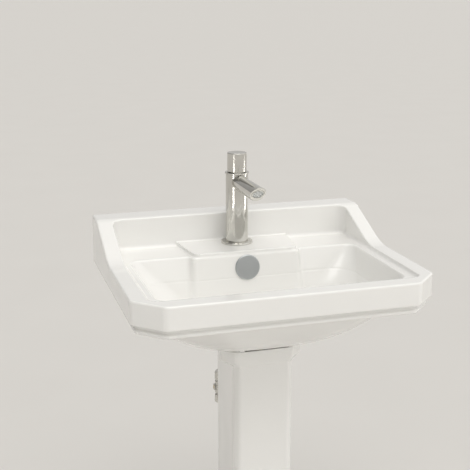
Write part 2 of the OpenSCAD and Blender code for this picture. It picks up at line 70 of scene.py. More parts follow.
HALF_W = BASIN_HIGH[0]
WALL = BASIN_HIGH[1]
FRONT = BASIN_LOW[1]
TOP = BASIN_HIGH[2]
RIM = TOP - 56
UPSTAND_FRONT = WALL - 56
WING_FRONT = UPSTAND_FRONT - 129
CORNER = 50
APRON = RIM - 44
BEAD_TOP = APRON - 8
BEAD_LOW = BEAD_TOP - 8
COVE_INSET = 11
BEAD_INSET = 7
DISH = RIM - 7.5
RECESS_X = HALF_W - 31
RECESS_FRONT = FRONT + 35
CHINA = 11
SHELL = 12
BACK = 14
DECK = RIM - 19

BOWL_X = RECESS_X - 15
BOWL_FRONT = RECESS_FRONT + 18
BOWL_BACK = WALL - 143
BOWL_DEPTH = 140
BOWL_FLOOR = RIM - BOWL_DEPTH
SIDE_SWEEP = 120
FRONT_SWEEP = 115
BACK_SWEEP = 36
FLOOR_FALL = 0.03
PLATFORM_FRONT = WALL - 160
PLATFORM_HALF = 106
PLATFORM_GROWS = 12
BAY_HALF = 112
BAY_LEAN = 0.105
BELLY_X = HALF_W - 20
BELLY_Y = WALL - 222
BELLY_HALF_Y = 200
BELLY_LOW = RIM - 160
SEAT = RIM - 165
HOLLOW_FRONT = BOWL_BACK + CHINA

TAP_Y = WALL - 92
WASTE_Y = WALL - 215
OVERFLOW_Z = RIM - 33
OVERFLOW_Y = PLATFORM_FRONT - BAY_LEAN * (RIM - OVERFLOW_Z)
OVERFLOW_TILT = math.atan(BAY_LEAN)
TAP_HOLE_R = 17.5
WASTE_HOLE_R = 22.5
PLUG_RECESS_R = 33.2
OVERFLOW_HOLE_R = 12.5
BOLT_X = 140
BOLT_Z = RIM - 35
BOLT_HOLE_R = 7


# ---------- distance fields ----------

def round_max(a, b, r):
    """Where both a and b hold, with edges of radius r."""
    corner = np.hypot(np.maximum(a + r, 0), np.maximum(b + r, 0))
    return np.minimum(np.maximum(a, b), -r) + corner


def round_min(a, b, r):
    """Where a or b holds, with fillets of radius r."""
    return -round_max(-a, -b, r)


def cut(a, b, r):
    """What is left of a when b is taken away."""
    return round_max(a, -b, r)


def plan_box(x, y, half_x, y0, y1, r):
    """Upright wall with a rectangular plan, mirrored in X, and corners of radius r."""
    out_x = np.abs(x) - half_x + r
    out_y = np.abs(y - (y0 + y1) / 2) - (y1 - y0) / 2 + r
    return np.hypot(np.maximum(out_x, 0), np.maximum(out_y, 0)) + np.minimum(np.maximum(out_x, out_y), 0) - r


def span(z, low, high):
    """Slab between two heights."""
    return np.abs(z - (low + high) / 2) - (high - low) / 2


def block(x, y, z, half_x, y0, y1, z0, z1, r):
    """Box mirrored in X, with edges and corners of radius r."""
    return round_max(plan_box(x, y, half_x, y0, y1, r), span(z, z0, z1), r)


def post(x, y, z, cx, cy, r, z0, z1, edge=0.8):
    """Upright round bar."""
    return round_max(np.hypot(x - cx, y - cy) - r, span(z, z0, z1), edge)


def ease(t):
    """Smooth step from 0 to 1."""
    t = np.clip(t, 0, 1)
    return t * t * (3 - 2 * t)


# ---------- basin ----------

def outline(x, y, inset):
    """Plan of the basin with its two chamfered front corners."""
    side = np.abs(x) - (HALF_W - inset)
    front = FRONT + inset - y
    corner = (np.abs(x) - y - (HALF_W - FRONT - CORNER)) / math.sqrt(2) + inset
    return round_max(round_max(np.maximum(side, front), corner, 5), y - WALL, 1.5)


def upper_block(x, y, z):
    """Apron, rim, sloping wings and upstand."""
    run, rise = UPSTAND_FRONT - WING_FRONT, TOP - RIM
    slope = (run * (z - RIM) - rise * (y - WING_FRONT)) / math.hypot(run, rise)
    wing = round_max(z - TOP, slope, 4)
    top = round_min(z - RIM, wing, 10)
    return round_max(round_max(outline(x, y, 0), top, 3.2), APRON - z, 2.5)


def platform(x, y):
    """Plan of the raised tap platform: it narrows towards the front, where its corners are round."""
    share = (y - PLATFORM_FRONT) / (UPSTAND_FRONT - PLATFORM_FRONT)
    side = np.abs(x) - (PLATFORM_HALF + PLATFORM_GROWS * share)
    return round_max(side, PLATFORM_FRONT + 0.5 - y, 15)


def recess(x, y, z):
    """Space over the dishes, round the platform."""
    space = round_max(plan_box(x, y, RECESS_X, RECESS_FRONT, UPSTAND_FRONT, 18), DISH - z, 7)
    return cut(space, np.maximum(platform(x, y), z - RIM), 2.5)


def bowl(x, y, z):
    """Bowl whose sides and front steepen and then sweep in to the sloping floor."""
    depth = np.clip((RIM - z) / BOWL_DEPTH, 0, 1.15)
    side = SIDE_SWEEP * (0.33 * depth + 0.67 * depth ** 3.9)
    steep = SIDE_SWEEP / BOWL_DEPTH * (0.33 + 0.67 * 3.9 * depth ** 2.9)
    front = BOWL_FRONT + FRONT_SWEEP * (0.48 * depth + 0.52 * depth ** 3.56)
    back = BOWL_BACK - BACK_SWEEP * depth
    r = np.minimum(20 + 46 * ease(depth / 0.6), 0.46 * (back - front))
    wall = plan_box(x, y, BOWL_X - side, front, back, r) / np.sqrt(1 + steep ** 2)
    floor = BOWL_FLOOR + FLOOR_FALL * np.hypot(x, y - WASTE_Y) - z
    return round_max(wall, floor, 18)


def bay(x, y, z):
    """The platform's front, which leans forward into the bowl."""
    front = PLATFORM_FRONT - BAY_LEAN * np.maximum(RIM - z, 0) - y
    return round_max(np.abs(x) - BAY_HALF, front * math.cos(OVERFLOW_TILT), 9)


def cavity(x, y, z):
    """All the open space of the bowl."""
    return cut(bowl(x, y, z), bay(x, y, z), 9)


def belly(x, y, z, inset):
    """Dome under the basin: square-shouldered oval rings that shrink towards its flat bottom."""
    square, bulge, depth = 3, 2.7, BEAD_LOW - BELLY_LOW
    ax, ay = np.abs(x) / BELLY_X, np.abs(y - BELLY_Y) / BELLY_HALF_Y
    ring = (ax ** square + ay ** square + 1e-6) ** (1 / square)
    level = ring ** bulge + (BEAD_LOW - z) / depth - 1
    pull = bulge * ring ** (bulge - square)
    grow = np.hypot(pull * ax ** (square - 1) / BELLY_X, pull * ay ** (square - 1) / BELLY_HALF_Y)
    dome = level / np.hypot(grow, 1 / depth) + inset
    return round_max(dome, BELLY_LOW + inset - z, 6)


def casting_outside(x, y, z):
    """Apron block, cove, bead and dome."""
    body = upper_block(x, y, z)
    cove = round_max(outline(x, y, COVE_INSET), span(z, BEAD_TOP - 1, APRON + 2), 0.5)
    bead = round_max(outline(x, y, BEAD_INSET), span(z, BEAD_LOW, BEAD_TOP), 3.6)
    dome = np.maximum(np.maximum(belly(x, y, z, 0), y - HOLLOW_FRONT), z - BEAD_LOW - 2)
    body = round_min(body, cove, 3)
    body = round_min(body, bead, 2)
    return round_min(body, dome, 3)


def casting_hollow(x, y, z):
    """Space inside the double walls, open below behind the dome."""
    inside_back = y - (WALL - BACK)
    behind_cove = COVE_INSET + SHELL
    apron = round_max(outline(x, y, SHELL), span(z, APRON + 8, DECK), 3)
    ledge = round_max(outline(x, y, behind_cove), span(z, BEAD_LOW + 10, APRON + 12), 2)
    dome = np.maximum(belly(x, y, z, SHELL), z - BEAD_LOW - 12)
    behind = block(x, y, z, HALF_W - behind_cove, HOLLOW_FRONT, WALL, BEAD_LOW - 20, APRON + 12, 4)
    upstand = block(x, y, z, HALF_W - SHELL, UPSTAND_FRONT + SHELL, WALL, DECK - 12, TOP - SHELL, 4)
    space = round_min(round_min(apron, ledge, 3), round_min(dome, behind, 3), 4)
    space = round_max(round_min(space, upstand, 4), inside_back, 3)
    return cut(space, cavity(x, y, z) - CHINA, 3)


def pier(x, y, z):
    """Solid foot with the overflow passage, and the two rails that stand on the column."""
    back = HOLLOW_FRONT + 3
    foot = block(x, y, z, 62, -5, back, BELLY_LOW, BEAD_LOW, 3)
    riser = block(x, y, z, 24, 74, back, BEAD_LOW - 1, DECK + 1, 2)
    inwards = np.abs(x) - column_side(y)
    rails = np.maximum(np.maximum(inwards, -13 - inwards), np.maximum(PED_FRONT + 22 - y, y - back))
    rails = round_max(rails, span(z, SEAT, BELLY_LOW + 14), 1.5)
    collar = post(x, y, z, 0, WASTE_Y, 38, SEAT, BELLY_LOW + 2)
    return np.minimum(np.minimum(foot, riser), round_min(rails, collar, 3))


def basin_holes(x, y, z):
    """Holes for the tap, the waste, the overflow and the two wall bolts."""
    tap_hole = post(x, y, z, 0, TAP_Y, TAP_HOLE_R, RIM - 60, RIM + 9)
    waste_hole = post(x, y, z, 0, WASTE_Y, WASTE_HOLE_R, SEAT - 4, BOWL_FLOOR + 4)
    waste_seat = post(x, y, z, 0, WASTE_Y, PLUG_RECESS_R, BOWL_FLOOR - 6, BOWL_FLOOR + 18)
    across, along = math.cos(OVERFLOW_TILT), math.sin(OVERFLOW_TILT)
    out = (OVERFLOW_Y - y) * across + (z - OVERFLOW_Z) * along
    up = (y - OVERFLOW_Y) * along + (z - OVERFLOW_Z) * across
    overflow = np.maximum(np.hypot(x, up) - OVERFLOW_HOLE_R, np.abs(out) - 12)
    bolts = np.maximum(np.hypot(np.abs(x) - BOLT_X, z - BOLT_Z) - BOLT_HOLE_R, WALL - BACK - 2 - y)
    return np.minimum(np.minimum(np.minimum(tap_hole, waste_hole), waste_seat), np.minimum(overflow, bolts))


def basin_field(x, y, z):
    """The whole basin casting."""
    body = cut(casting_outside(x, y, z), recess(x, y, z), 2.6)
    body = cut(body, casting_hollow(x, y, z), 1.5)
    body = round_min(body, pier(x, y, z), 3)
    body = cut(body, cavity(x, y, z), 3)
    return cut(body, basin_holes(x, y, z), 0.8)


# ---------- pedestal ----------

PED_FRONT = PED_LOW[1] + 14
PED_BACK = PED_HIGH[1]
COLUMN_HALF = 60
BACK_HALF = 43
COLUMN_CORNER = 10.5
PED_WALL = 12
HEAD_FRONT = 57
HEAD_HALF = 81
HEAD_BACK = PED_FRONT + 37
BAND_LOW = PED_HIGH[2] - 22
CORBEL_LOW = BAND_LOW - 9
PLINTH_OUT = 14
PLINTH_H = 72
LIP = 1.5
MOUTH_LEAN = 0.6
MOUTH_SCALE = 0.86
MOUTH_BACK = 60
LUG_X = 27
SCREW_R = 4
TAPER = (COLUMN_HALF - BACK_HALF) / (PED_BACK - PED_FRONT - COLUMN_CORNER)


def column_side(y):
    """Half width of the column, which closes in towards its back."""
    return COLUMN_HALF - TAPER * (y - PED_FRONT - COLUMN_CORNER)


def column(x, y, grow):
    """Plan of the column with its chamfered front corners, moved outwards by grow."""
    side = (np.abs(x) - column_side(y)) / math.hypot(1, TAPER) - grow
    corner = (np.abs(x) - y - (COLUMN_HALF - PED_FRONT - COLUMN_CORNER)) / math.sqrt(2) - grow
    return round_max(round_max(side, corner, 3), PED_FRONT - grow - y, 3)


def head(x, y, z):
    """Band across the top with an ear on each side, on corbels that slope in to the column."""
    drop = np.clip((BAND_LOW - z) / (BAND_LOW - CORBEL_LOW), 0, 1)
    side = np.abs(x) - (HEAD_HALF + (COLUMN_HALF - HEAD_HALF) * drop)
    reach = HEAD_FRONT + (COLUMN_HALF - COLUMN_CORNER - HEAD_FRONT) * drop
    corner = (np.abs(x) - y - (reach - PED_FRONT)) / math.sqrt(2)
    plan = round_max(round_max(side, corner, 3), PED_FRONT - y, 3)
    plan = round_max(plan, y - HEAD_BACK, 3)
    lean = np.where((drop > 0) & (drop < 1), 0.45, 1)
    return round_max(plan * lean, span(z, CORBEL_LOW, PED_HIGH[2]), 2)


def plinth(x, y, z):
    """Base round the column's foot, with a sloping top."""
    rise = np.clip((z - PLINTH_H) / PLINTH_OUT, 0, 1)
    lean = np.where(rise > 0, math.sqrt(0.5), 1)
    return round_max(column(x, y, PLINTH_OUT * (1 - rise)) * lean, span(z, 0, PLINTH_H + PLINTH_OUT), 1.5)


def mouth(x, y, z):
    """Bevel inside the head's front wall, which leaves only a thin lip under the basin."""
    slope = MOUTH_SCALE * (PED_FRONT + LIP + MOUTH_LEAN * (PED_HIGH[2] - z) - y)
    return round_max(slope, np.maximum(np.abs(x) - (column_side(y) - PED_WALL), y - MOUTH_BACK), 3)


def foot_lugs(x, y, z):
    """Two lugs in the foot, for the floor screws."""
    return block(np.abs(x) - LUG_X, y, z, 9, PED_BACK - 40, PED_BACK - 4, 0, 12, 2)


def pedestal_field(x, y, z):
    """Hollow column with its head and plinth, open at the back, the top and the foot."""
    body = round_max(column(x, y, 0), span(z, 0, PED_HIGH[2]), 2)
    body = round_min(round_min(body, head(x, y, z), 1.5), plinth(x, y, z), 4)
    body = round_max(body, y - PED_BACK, 2.5)
    hollow = round_max(column(x, y, -PED_WALL), y - (PED_BACK - PED_WALL), 4)
    opening = np.maximum(np.abs(x) - (BACK_HALF - PED_WALL - 6), -y)
    body = cut(body, round_min(hollow, opening, 3), 2.5)
    body = cut(body, mouth(x, y, z), 1)
    body = round_min(body, foot_lugs(x, y, z), 3)
    holes = np.hypot(np.abs(x) - LUG_X, y - (PED_BACK - 24)) - SCREW_R
    return cut(body, np.maximum(holes, z - 20), 0.6)


# ---------- from a field to a mesh ----------

def sample(field, low, high, step):
    """The field on a grid a little larger than the box, worked out in slabs, and the grid's origin."""
    axes = [np.arange(low[i] - 2.3 * step, high[i] + 3 * step, step) for i in range(3)]
    x, y, z = np.meshgrid(*axes, indexing="ij", sparse=True)
    shape = [len(a) for a in axes]
    values = np.empty(shape, np.float32)
    for start in range(0, shape[0], 24):
        values[start:start + 24] = field(x[start:start + 24], y, z)
    return values, np.array([a[0] for a in axes])


def crossing_points(values, cells):
    """In each cell that the surface runs through, the mean of the points where it meets the edges."""
    total, number = np.zeros((len(cells), 3)), np.zeros(len(cells))
    for axis in range(3):
        step = np.eye(3, dtype=int)[axis]
        for b in (0, 1):
            for c in (0, 1):
                start = cells + np.roll([0, b, c], axis)
                v0 = values[tuple(start.T)]
                v1 = values[tuple((start + step).T)]
                meets = (v0 < 0) != (v1 < 0)
                share = np.where(meets, v0 / np.where(meets, v0 - v1, 1), 0)
                total += meets[:, None] * (start + share[:, None] * step)
                number += meets
    return total / number[:, None]


def surface_net(values):
    """One point per crossed cell, and one four-sided face per crossed grid edge."""
    inside = values < 0
    n = [s - 1 for s in values.shape]
    corners = sum(inside[i:i + n[0], j:j + n[1], k:k + n[2]].astype(np.int8)
                  for i in (0, 1) for j in (0, 1) for k in (0, 1))
    mixed = (corners > 0) & (corners < 8)
    index = np.full(mixed.shape, -1)
    cells = np.argwhere(mixed)
    index[mixed] = np.arange(len(cells))
    faces = []
    for axis in range(3):
        step = np.eye(3, dtype=int)[axis]
        u, v = np.roll(step, 1), np.roll(step, 2)
        a = inside[:inside.shape[0] - step[0], :inside.shape[1] - step[1], :inside.shape[2] - step[2]]
        b = inside[step[0]:, step[1]:, step[2]:]
        for flip, edges in ((False, np.argwhere(a & ~b)), (True, np.argwhere(~a & b))):
            ring = [index[tuple((edges - s).T)] for s in (u + v, v, 0 * u, u)]
            faces.append(np.stack(ring[::-1] if flip else ring, 1))
    return crossing_points(values, cells), np.concatenate(faces)


def gradient(field, p, h=0.05):
    """Slope of the field at each point, by central differences."""
    parts = []
    for step in np.eye(3) * h:
        ahead, behind = p + step, p - step
        parts.append(field(*ahead.T) - field(*behind.T))
    return np.stack(parts, 1) / (2 * h)


def settle(field, p, rounds=3, reach=1.2):
    """Moves points on to the surface itself, by at most reach in each round."""
    for _ in range(rounds):
        g = gradient(field, p)
        move = field(*p.T)[:, None] * g / np.maximum((g ** 2).sum(1), 0.05)[:, None]
        length = np.linalg.norm(move, axis=1, keepdims=True)
        p = p - move * np.minimum(1, reach / np.maximum(length, 1e-9))
    return p


def coordinates(mesh):
    flat = np.empty(len(mesh.vertices) * 3, np.float32)
    mesh.vertices.foreach_get("co", flat)
    return flat.reshape(-1, 3).astype(float)


def thinned(mesh, share):
    """The same surface with fewer faces, which stay small where it curves."""
    helper = link("thinning", mesh)
    helper.modifiers.new("thin", "DECIMATE").ratio = share
    shown = helper.evaluated_get(bpy.context.evaluated_depsgraph_get())
    thin = bpy.data.meshes.new_from_object(shown)
    bpy.data.objects.remove(helper)
    return thin


def casting(name, field, low, high, step, share):
    """A piece from its distance field, with normals taken from the field.

    The net has cells of size step, and share is the part of its faces that is kept.
    """
    values, origin = sample(field, low, high, step)
    points, faces = surface_net(values)
    points = settle(field, points * step + origin)
    mesh = thinned(new_mesh(name, points, faces.tolist()), share)
    points = np.clip(settle(field, coordinates(mesh), 2, 0.4), low, high)
    normals = gradient(field, points)
    normals /= np.maximum(np.linalg.norm(normals, axis=1, keepdims=True), 1e-9)
    mesh.vertices.foreach_set("co", (points * MM).astype(np.float32).ravel())
    mesh.update()
    mesh.shade_smooth()
    mesh.normals_split_custom_set_from_vertices([tuple(n) for n in normals])
    return link(name, mesh)


# ---------- turned and swept pieces ----------

def new_mesh(name, points, faces):
    mesh = bpy.data.meshes.new(name)
    mesh.from_pydata([tuple(p) for p in points], [], faces)
    mesh.validate()
    mesh.update()
    return mesh


def link(name, mesh):
    made = bpy.data.objects.new(name, mesh)
    bpy.context.scene.collection.objects.link(made)
    return made


def rounded_profile(corners, closed, arc=5):
    """Points and outward normals along a profile of (radius, height, fillet) corners."""
    count = len(corners)
    xy = np.array([c[:2] for c in corners], float)
    result = []
    for i, (_, _, fillet) in enumerate(corners):
        before = xy[i] - xy[i - 1]
        after = xy[(i + 1) % count] - xy[i]
        if not closed and i == 0:
            before = after
        if not closed and i == count - 1:
            after = before
        d0, d1 = before / np.hypot(*before), after / np.hypot(*after)
        n0, n1 = np.array([d0[1], -d0[0]]), np.array([d1[1], -d1[0]])
        turn = math.atan2(d0[0] * d1[1] - d0[1] * d1[0], d0 @ d1)
        if abs(turn) < 1e-6:
            result.append((xy[i], n0))
            continue
        side = math.copysign(1, turn)
        back = fillet * math.tan(abs(turn) / 2)
        centre = xy[i] - d0 * back - n0 * fillet * side
        first = math.atan2(n0[1], n0[0])
        for k in range(arc + 1):
            a = first + turn * k / arc
            n = np.array([math.cos(a), math.sin(a)])
            result.append((centre + n * fillet * side, n))
    return result


def turned(name, corners, place, closed=False, segments=96, arc=5):
    """A lathe piece on the axis that place gives. An open profile starts and ends on that axis."""
    profile = rounded_profile(corners, closed, arc)
    points, normals, faces = [], [], []
    angles = [2 * math.pi * k / segments for k in range(segments)]
    for (r, h), (nr, nh) in profile:
        for a in angles:
            points.append(place @ Vector((r * math.cos(a), r * math.sin(a), h)))
            normals.append(place.to_3x3() @ Vector((nr * math.cos(a), nr * math.sin(a), nh)))
    rows = len(profile)
    for i in range(rows if closed else rows - 1):
        j = (i + 1) % rows
        for k in range(segments):
            m = (k + 1) % segments
            faces.append((i * segments + k, i * segments + m, j * segments + m, j * segments + k))
    return smooth_piece(name, points, normals, faces)


def smooth_piece(name, points, normals, faces):
    """Makes the mesh in metres, joins points that lie together and keeps the given normals."""
    merged, lookup, kept = {}, [], []
    for i, p in enumerate(points):
        key = tuple(round(c, 4) for c in p)
        if key not in merged:
            merged[key] = len(kept)
            kept.append(i)
        lookup.append(merged[key])
    clean = []
    for face in faces:
        ring = [lookup[i] for i in face]
        ring = [v for k, v in enumerate(ring) if v != ring[k - 1]]
        if len(set(ring)) == len(ring) and len(ring) > 2:
            clean.append(ring)
    mesh = bpy.data.meshes.new(name)
    mesh.from_pydata([tuple(c * MM for c in points[i]) for i in kept], [], clean)
    mesh.update()
    mesh.shade_smooth()
    mesh.normals_split_custom_set_from_vertices([tuple(normals[i].normalized()) for i in kept])
    return link(name, mesh)


def lofted(name, loops):
    """Joins closed loops of equally many points, and closes both ends."""
    count = len(loops[0])
    points = [p for loop in loops for p in loop]
    faces = []
    for i in range(len(loops) - 1):
        for k in range(count):
            m = (k + 1) % count
            faces.append((i * count + k, i * count + m, (i + 1) * count + m, (i + 1) * count + k))
    for start, flip in ((0, True), ((len(loops) - 1) * count, False)):
        middle = sum((Vector(p) for p in points[start:start + count]), Vector()) / count
        points.append(middle)
        tip = len(points) - 1
        for k in range(count):
            m = (k + 1) % count
            pair = (start + m, start + k) if flip else (start + k, start + m)
            faces.append((*pair, tip))
    mesh = new_mesh(name, [Vector(p) * MM for p in points], faces)
    mesh.shade_smooth()
    made = link(name, mesh)
    weighted = made.modifiers.new("weighted normals", "WEIGHTED_NORMAL")
    weighted.keep_sharp = True
    return made


def at(x, y, z, turn_x=0.0, turn_y=0.0):
    """Placement with the axis upright, then turned about X and Y by degrees."""
    turn = Matrix.Rotation(math.radians(turn_y), 4, "Y") @ Matrix.Rotation(math.radians(turn_x), 4, "X")
    return Matrix.Translation((x, y, z)) @ turn


def stands_for(made, node, material):
    """Shows a piece in place of its CAD node, on the same body."""
    made.data.materials.clear()
    made.data.materials.append(material)
    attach(made, NODE_BODY[node])
    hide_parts(node)
    return made


# ---------- materials ----------

class Paint:
    """One node material round a Principled shader, in the part's own frame."""

    def __init__(self, name, **values):
        self.made = bpy.data.materials.new(name)
        self.made.use_nodes = True
        self.nodes, self.links = self.made.node_tree.nodes, self.made.node_tree.links
        self.shader = self.nodes["Principled BSDF"]
        for socket, value in values.items():
            self.shader.inputs[socket.replace("_", " ")].default_value = value
        self.place = self.nodes.new("ShaderNodeTexCoord").outputs["Object"]

    def noise(self, scale, detail=3.0, stretch=(1, 1, 1)):
        mapping = self.nodes.new("ShaderNodeMapping")
        mapping.inputs["Scale"].default_value = stretch
        self.links.new(self.place, mapping.inputs["Vector"])
        made = self.nodes.new("ShaderNodeTexNoise")
        made.inputs["Scale"].default_value = scale
        made.inputs["Detail"].default_value = detail
        self.links.new(mapping.outputs["Vector"], made.inputs["Vector"])
        return made.outputs["Fac"]

    def spots(self, scale):
        made = self.nodes.new("ShaderNodeTexVoronoi")
        made.inputs["Scale"].default_value = scale
        self.links.new(self.place, made.inputs["Vector"])
        return made.outputs["Distance"]

    def rings(self, centre, scale):
        """Fine turning marks round the point centre."""
        offset = self.nodes.new("ShaderNodeVectorMath")
        offset.operation = "DISTANCE"
        offset.inputs[1].default_value = centre
        self.links.new(self.place, offset.inputs[0])
        made = self.nodes.new("ShaderNodeTexNoise")
        made.noise_dimensions = "1D"
        made.inputs["Scale"].default_value = scale
        made.inputs["Detail"].default_value = 4
        self.links.new(offset.outputs["Value"], made.inputs["W"])
        return made.outputs["Fac"]

    def spread(self, fac, low, high, start=0.3, end=0.7):
        made = self.nodes.new("ShaderNodeMapRange")
        for socket, value in (("From Min", start), ("From Max", end), ("To Min", low), ("To Max", high)):
            made.inputs[socket].default_value = value
        self.links.new(fac, made.inputs["Value"])
        return made.outputs["Result"]

    def colour(self, fac, first, second):
        made = self.nodes.new("ShaderNodeMix")
        made.data_type = "RGBA"
        made.inputs["A"].default_value = (*first, 1)
        made.inputs["B"].default_value = (*second, 1)
        self.links.new(fac, made.inputs["Factor"])
        self.links.new(made.outputs["Result"], self.shader.inputs["Base Color"])

    def roughness(self, fac, low, high):
        self.links.new(self.spread(fac, low, high), self.shader.inputs["Roughness"])

    def bumps(self, *layers):
        """Layers of (height, strength, distance in mm)."""
        last = None
        for height, strength, distance in layers:
            made = self.nodes.new("ShaderNodeBump")
            made.inputs["Strength"].default_value = strength
            made.inputs["Distance"].default_value = distance * MM
            self.links.new(height, made.inputs["Height"])
            if last is not None:
                self.links.new(last, made.inputs["Normal"])
            last = made.outputs["Normal"]
        self.links.new(last, self.shader.inputs["Normal"])


def glaze():
    """White glaze: a clear gloss over a body whose tone and flatness drift a little."""
    paint = Paint("white_glaze", Coat_Weight=0.7, Coat_Roughness=0.04, IOR=1.5)
    cloud = paint.noise(5, 2)
    paint.colour(paint.spread(cloud, 0, 1), (0.875, 0.87, 0.845), (0.89, 0.885, 0.862))
    paint.roughness(paint.noise(9, 1), 0.2, 0.26)
    paint.bumps((paint.noise(11, 1), 0.05, 0.5),)
    return paint.made


def chrome():
    """Polished plate with faint clouds and fine wiping marks."""
    paint = Paint("chrome_plate", Metallic=1.0)
    paint.colour(paint.spread(paint.noise(30, 2), 0, 1), (0.6, 0.59, 0.555), (0.66, 0.65, 0.615))
    paint.roughness(paint.noise(45, 5), 0.045, 0.11)
    paint.bumps((paint.noise(24, 1), 0.1, 0.15), (paint.noise(900, 2, (1, 1, 0.15)), 0.04, 0.01))
    return paint.made


def satin_disc():
    """Satin plate with turning marks round the overflow cover's middle."""
    paint = Paint("satin_chrome", Metallic=1.0)
    centre = tuple(c * MM for c in (0, OVERFLOW_Y, OVERFLOW_Z))
    marks = paint.rings(centre, 9000)
    paint.colour(paint.spread(marks, 0, 1), (0.42, 0.44, 0.45), (0.52, 0.54, 0.55))
    paint.roughness(marks, 0.3, 0.42)
    paint.bumps((marks, 0.12, 0.03))
    return paint.made


def machined(name, light, dark, rough, along_z=900):
    """Turned metal: marks across the axis, and a little tarnish in clouds."""
    paint = Paint(name, Metallic=1.0)
    marks = paint.noise(1.0, 3, (60, 60, along_z))
    tarnish = paint.noise(55, 4)
    paint.colour(paint.spread(tarnish, 0, 1, 0.35, 0.75), light, dark)
    paint.roughness(marks, rough, rough + 0.14)
    paint.bumps((marks, 0.18, 0.04), (tarnish, 0.05, 0.1))
    return paint.made


def plated_nickel():
    """Nickel plate over a rough casting."""
    paint = Paint("nickel_plate", Metallic=1.0)
    paint.colour(paint.spread(paint.noise(80, 3), 0, 1), (0.6, 0.59, 0.55), (0.7, 0.69, 0.65))
    paint.roughness(paint.noise(160, 3), 0.2, 0.32)
    paint.bumps((paint.noise(420, 3), 0.12, 0.05))
    return paint.made


def rubber(name, colour, worn):
    """Matt rubber, paler where it is worn."""
    paint = Paint(name, Specular_IOR_Level=0.3)
    paint.colour(paint.spread(paint.noise(120, 4), 0, 1), colour, worn)
    paint.roughness(paint.noise(300, 3), 0.62, 0.82)
    paint.bumps((paint.noise(1400, 3), 0.3, 0.06))
    return paint.made


def moulded(name, light, dark, rough):
    """Moulded plastic with a fine spark-eroded grain and faint flow clouds."""
    paint = Paint(name, IOR=1.49)
    paint.colour(paint.spread(paint.noise(18, 2, (1, 1, 0.4)), 0, 1), light, dark)
    paint.roughness(paint.noise(200, 3), rough, rough + 0.12)
    paint.bumps((paint.noise(40, 1), 0.1, 0.15), (paint.spots(1100), 0.12, 0.03))
    return paint.made


GLAZE = glaze()
CHROME = chrome()
SATIN = satin_disc()
STEEL = machined("brushed_steel", (0.58, 0.58, 0.58), (0.5, 0.5, 0.5), 0.22)
NICKEL = plated_nickel()
BRASS = machined("machined_brass", (0.72, 0.55, 0.27), (0.55, 0.4, 0.18), 0.2)
COPPER = machined("drawn_copper", (0.72, 0.4, 0.27), (0.47, 0.24, 0.15), 0.22, 12)
BLACK_RUBBER = rubber("black_rubber", (0.02, 0.02, 0.021), (0.045, 0.045, 0.045))
WHITE_RUBBER = rubber("white_rubber", (0.72, 0.71, 0.68), (0.62, 0.61, 0.57))
WHITE_PLASTIC = moulded("white_plastic", (0.84, 0.84, 0.82), (0.78, 0.78, 0.755), 0.22)
FILTER_PLASTIC = moulded("filter_plastic", (0.76, 0.78, 0.77), (0.7, 0.72, 0.71), 0.3)
SLOT_MATERIAL = {
    "china": GLAZE, "chrome": CHROME, "satin_chrome": SATIN, "steel": STEEL, "nickel": NICKEL,
    "brass": BRASS, "copper": COPPER, "black_rubber": BLACK_RUBBER, "white_rubber": WHITE_RUBBER,
    "white_plastic": WHITE_PLASTIC, "clear_white_plastic": FILTER_PLASTIC,
}


# ---------- ceramic pieces ----------

CHINA_STEP = 2.5
PED_STEP = 3
CHINA_SHARE = 0.4


def make_basin():
    made = casting("basin_glazed", basin_field, BASIN_LOW, BASIN_HIGH, CHINA_STEP, CHINA_SHARE)
    stands_for(made, "basin", GLAZE)


def make_pedestal():
    made = casting("pedestal_glazed", pedestal_field, PED_LOW, PED_HIGH, PED_STEP, CHINA_SHARE)
    stands_for(made, "pedestal", GLAZE)


# ---------- tap ----------

TAP_R = 22.5
BODY_TOP = RIM + 143
RING_TOP = BODY_TOP + 3
KNOB_R = 19.5
KNOB_TOP = RIM + 185
SPOUT_R = 15.5
SPOUT_Z = RIM + 127
SPOUT_END = TAP_Y - 136
SPOUT_TILT = math.radians(40)
AERATOR_R = 12.5
COLLAR_R = 16.5
SOCKET_R = 12.6
KNOB_BORE_R = 17.2
SCREW_Z = BODY_TOP + 28


def make_tap_body():
    profile = [
        (0, RIM - 9, 0), (17, RIM - 9, 0.8), (17, RIM + 5, 0.3), (TAP_R, RIM + 5, 0.5),
        (TAP_R, BODY_TOP, 0.7), (COLLAR_R, BODY_TOP, 0.4), (COLLAR_R, RING_TOP + 3, 0.4),
        (SOCKET_R, RING_TOP + 3, 0.3), (SOCKET_R, BODY_TOP - 7, 0.3), (0, BODY_TOP - 7, 0),
    ]
    stands_for(turned("tap_body_polished", profile, at(0, TAP_Y, 0)), "tap_body", CHROME)


def make_tap_rings():
    base = [(17.2, RIM, 0.2), (32, RIM, 0.4), (32, RIM + 4.1, 1.6), (29, RIM + 5, 1), (17.2, RIM + 5, 0.3)]
    stands_for(turned("tap_base_ring_polished", base, at(0, TAP_Y, 0), True), "tap_base_ring", CHROME)
    trim = [(16.7, BODY_TOP, 0.2), (24, BODY_TOP, 0.6), (24, RING_TOP, 0.9), (16.7, RING_TOP, 0.2)]
    stands_for(turned("trim_ring_polished", trim, at(0, TAP_Y, 0), True), "trim_ring", CHROME)


def knob_field(x, y, z):
    """Cap that hangs over the cartridge, with the hole for its grub screw behind."""
    low = RING_TOP + 0.4
    body = post(x, y, z, 0, TAP_Y, KNOB_R, low, KNOB_TOP, 1.2)
    inside = post(x, y, z, 0, TAP_Y, KNOB_BORE_R, low - 9, BODY_TOP + 22, 0.5)
    screw = np.maximum(np.hypot(x, z - SCREW_Z) - 2.5, TAP_Y + 4 - y)
    return cut(cut(body, inside, 0.4), screw, 0.3)


def make_knob():
    cast_piece("knob", knob_field, 0.7, CHROME)


